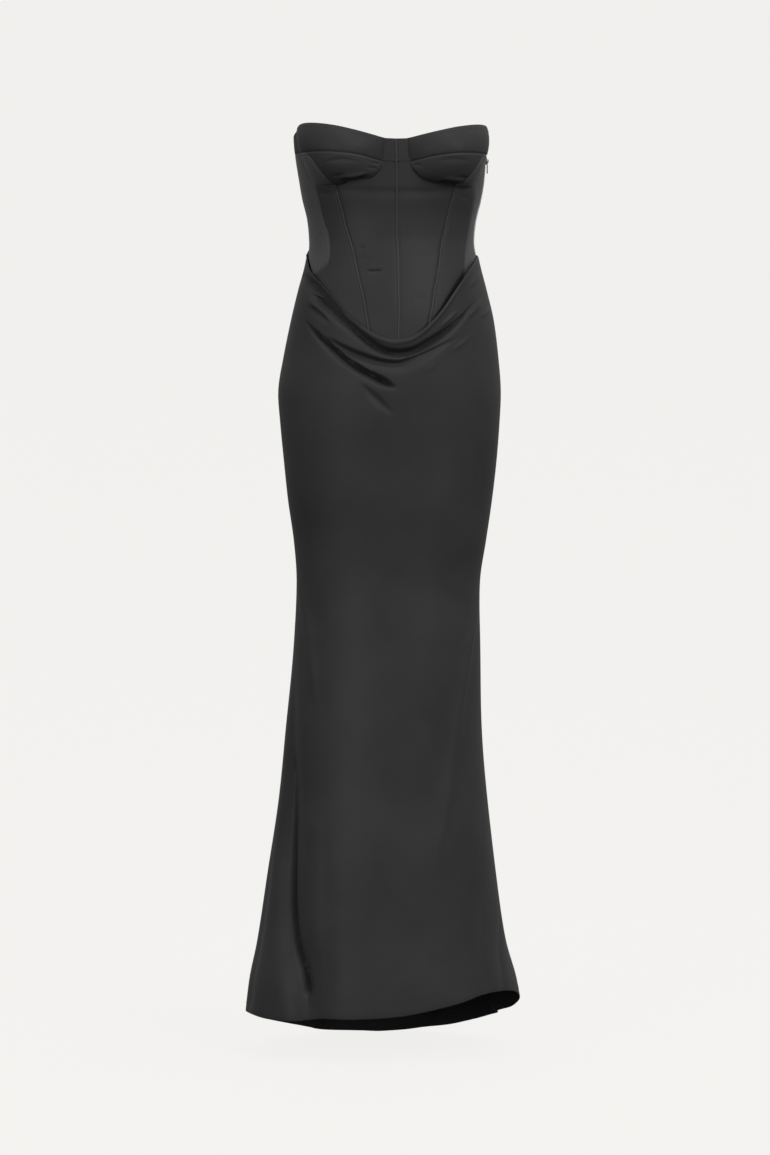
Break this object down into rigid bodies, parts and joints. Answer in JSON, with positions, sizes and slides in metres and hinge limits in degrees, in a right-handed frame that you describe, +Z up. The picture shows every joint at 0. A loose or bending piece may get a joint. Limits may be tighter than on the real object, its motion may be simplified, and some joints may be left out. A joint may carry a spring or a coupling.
{
  "type": "corset dress",
  "caption": "Strapless corset dress with moulded cups, mesh sides, a cowl-topped fishtail skirt and a side zip.",
  "frame": {"origin": "middle of the wearer's chest at the level of the cup seams, where the dress is held up", "axes": "+Z up the wearer's body, the front of the dress faces -Y, +X is the wearer's left"},
  "size_m": [0.4036, 0.3758, 1.3349],
  "materials": {
    "satin": "satin",
    "mesh": "matte",
    "metal": "satin"
  },
  "bodies": {
    "dress": {"front_centre": "satin", "front_side_left": "satin", "front_side_right": "satin", "upper_cup_left": "satin", "upper_cup_right": "satin", "lower_cup_left": "satin", "lower_cup_right": "satin", "cup_strip_left": "satin", "cup_strip_right": "satin", "casing_centre": "satin", "casing_left": "satin", "casing_right": "satin", "side_band_left_front": "satin", "side_band_left_back": "satin", "side_band_right": "satin", "corset_back": "satin", "skirt_front": "satin", "skirt_back": "satin", "mesh_left_front": "mesh", "mesh_left_back": "mesh", "mesh_right": "mesh", "zip_tape": "mesh", "zip_slider": "metal", "hook_upper": "metal", "hook_lower": "metal"},
    "pull_tab": {"zip_pull": "metal"}
  },
  "joints": [
    {"name": "pull_tab_swing", "type": "hinge", "parent": "dress", "child": "pull_tab", "pos_m": [0.14045, 0, -0.00622], "axis": [0, -1, 0], "range_deg": [0, 150]}
  ]
}
